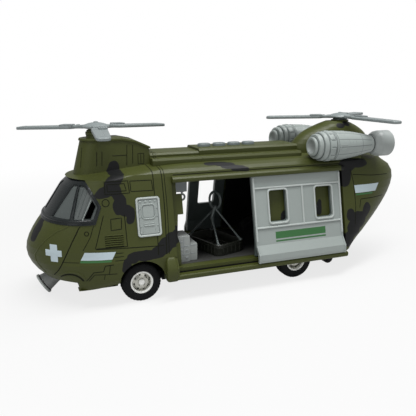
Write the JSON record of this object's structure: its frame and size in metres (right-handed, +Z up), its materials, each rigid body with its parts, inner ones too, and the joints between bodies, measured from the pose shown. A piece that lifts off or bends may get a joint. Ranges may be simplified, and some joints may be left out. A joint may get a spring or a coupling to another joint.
{
  "type": "toy tandem-rotor helicopter",
  "caption": "Olive camouflage toy rescue helicopter with twin spinning rotors, sliding side doors, cabin with a litter and rolling wheels.",
  "frame": {"origin": "on the floor under the toy, on its centre plane, midway between the two axles", "axes": "nose toward -X, tail toward +X, the toy's left side toward -Y, +Z up"},
  "size_m": [0.3019, 0.1082, 0.1222],
  "materials": {
    "camo_shell": "satin moulded olive shell with printed dark patches",
    "canopy_frame": "satin slate grey",
    "canopy_pane": "glossy dark smoke grey",
    "light_panel": "satin light grey",
    "inner_panel": "matte near-black",
    "cabin_dark": "matte near-black",
    "button_grey": "satin mid grey",
    "circuit_board": "green board",
    "speaker": "black frame",
    "rotor_grey": "satin blue-grey",
    "shaft_steel": "plain steel",
    "belly_black": "matte black",
    "cell_steel": "plain steel",
    "screw_steel": "plain steel",
    "tyre_black": "matte soft rubber",
    "hub_silver": "silver painted",
    "cabinet_grey": "satin grey",
    "hoist_grey": "satin grey",
    "litter_dark": "satin very dark green",
    "sling_grey": "satin dark grey",
    "light_body": "smooth grey",
    "light_lens": "clear-looking lens"
  },
  "bodies": {
    "airframe": {"nose_shell": "camo_shell", "fuselage_left": "camo_shell", "fuselage_right": "camo_shell", "door_rail_left": "camo_shell", "door_rail_right": "camo_shell", "door_sill_left": "camo_shell", "door_sill_right": "camo_shell", "front_pylon": "camo_shell", "front_pylon_cap": "camo_shell", "roof_spine": "camo_shell", "button_panel": "camo_shell", "rear_hood": "camo_shell", "canopy_frame": "canopy_frame", "canopy_glass": "canopy_pane", "hatch_panel_left": "light_panel", "hatch_panel_right": "light_panel", "nacelle_intake_left": "light_panel", "nacelle_body_left": "light_panel", "nacelle_exhaust_left": "light_panel", "nacelle_intake_right": "light_panel", "nacelle_body_right": "light_panel", "nacelle_exhaust_right": "light_panel", "cabin_tub": "cabin_dark", "switch_board": "circuit_board", "loudspeaker": "speaker", "belly_chassis": "belly_black", "battery_cover": "belly_black", "button_cells": "cell_steel", "chassis_screws": "screw_steel", "equipment_cabinet": "cabinet_grey", "hoist_housing": "hoist_grey", "hoist_hook": "hoist_grey", "searchlight_housing": "light_body", "searchlight_lens": "light_lens"},
    "front_rotor_set": {"front_rotor": "rotor_grey", "front_rotor_shaft": "shaft_steel"},
    "rear_rotor_set": {"rear_rotor": "rotor_grey", "rear_rotor_shaft": "shaft_steel"},
    "front_wheel_set": {"front_axle": "shaft_steel", "front_hub_left": "hub_silver", "front_hub_right": "hub_silver", "front_tyre_left": "tyre_black", "front_tyre_right": "tyre_black"},
    "rear_wheel_set": {"rear_axle": "shaft_steel", "rear_hub_left": "hub_silver", "rear_hub_right": "hub_silver", "rear_tyre_left": "tyre_black", "rear_tyre_right": "tyre_black"},
    "left_door": {"door_skin_left": "light_panel", "door_panel_left": "inner_panel"},
    "right_door": {"door_skin_right": "light_panel", "door_panel_right": "inner_panel"},
    "button_1": {"sound_button_1": "button_grey"},
    "button_2": {"sound_button_2": "button_grey"},
    "button_3": {"sound_button_3": "button_grey"},
    "button_4": {"sound_button_4": "button_grey"},
    "roller": {"tail_roller": "belly_black"},
    "litter": {"litter_basket": "litter_dark", "litter_sling": "sling_grey"}
  },
  "joints": [
    {"name": "front_rotor_spin", "type": "hinge", "parent": "airframe", "child": "front_rotor_set", "pos_m": [-0.0795, 0, 0.1154], "axis": [0, 0, 1], "continuous": true},
    {"name": "rear_rotor_spin", "type": "hinge", "parent": "airframe", "child": "rear_rotor_set", "pos_m": [0.119, 0, 0.1172], "axis": [0, 0, 1], "continuous": true},
    {"name": "front_wheels_roll", "type": "hinge", "parent": "airframe", "child": "front_wheel_set", "pos_m": [-0.06, 0, 0.0137], "axis": [0, 1, 0], "continuous": true},
    {"name": "rear_wheels_roll", "type": "hinge", "parent": "airframe", "child": "rear_wheel_set", "pos_m": [0.06, 0, 0.0137], "axis": [0, 1, 0], "continuous": true},
    {"name": "tail_roller_roll", "type": "hinge", "parent": "airframe", "child": "roller", "pos_m": [0.102, 0, 0.0047], "axis": [0, 1, 0], "continuous": true},
    {"name": "left_door_slide", "type": "slide", "parent": "airframe", "child": "left_door", "axis": [-1, 0, 0], "range_m": [0, 0.0595]},
    {"name": "right_door_slide", "type": "slide", "parent": "airframe", "child": "right_door", "axis": [-1, 0, 0], "range_m": [-0.0245, 0.035]},
    {"name": "litter_lift_out", "type": "slide", "parent": "airframe", "child": "litter", "axis": [0, -1, 0], "range_m": [0, 0.09]},
    {"name": "sound_button_1_press", "type": "slide", "parent": "airframe", "child": "button_1", "axis": [0, 0, -1], "range_m": [0, 0.0015], "stiffness_N_per_m": 400},
    {"name": "sound_button_2_press", "type": "slide", "parent": "airframe", "child": "button_2", "axis": [0, 0, -1], "range_m": [0, 0.0015], "stiffness_N_per_m": 400},
    {"name": "sound_button_3_press", "type": "slide", "parent": "airframe", "child": "button_3", "axis": [0, 0, -1], "range_m": [0, 0.0015], "stiffness_N_per_m": 400},
    {"name": "sound_button_4_press", "type": "slide", "parent": "airframe", "child": "button_4", "axis": [0, 0, -1], "range_m": [0, 0.0015], "stiffness_N_per_m": 400}
  ]
}
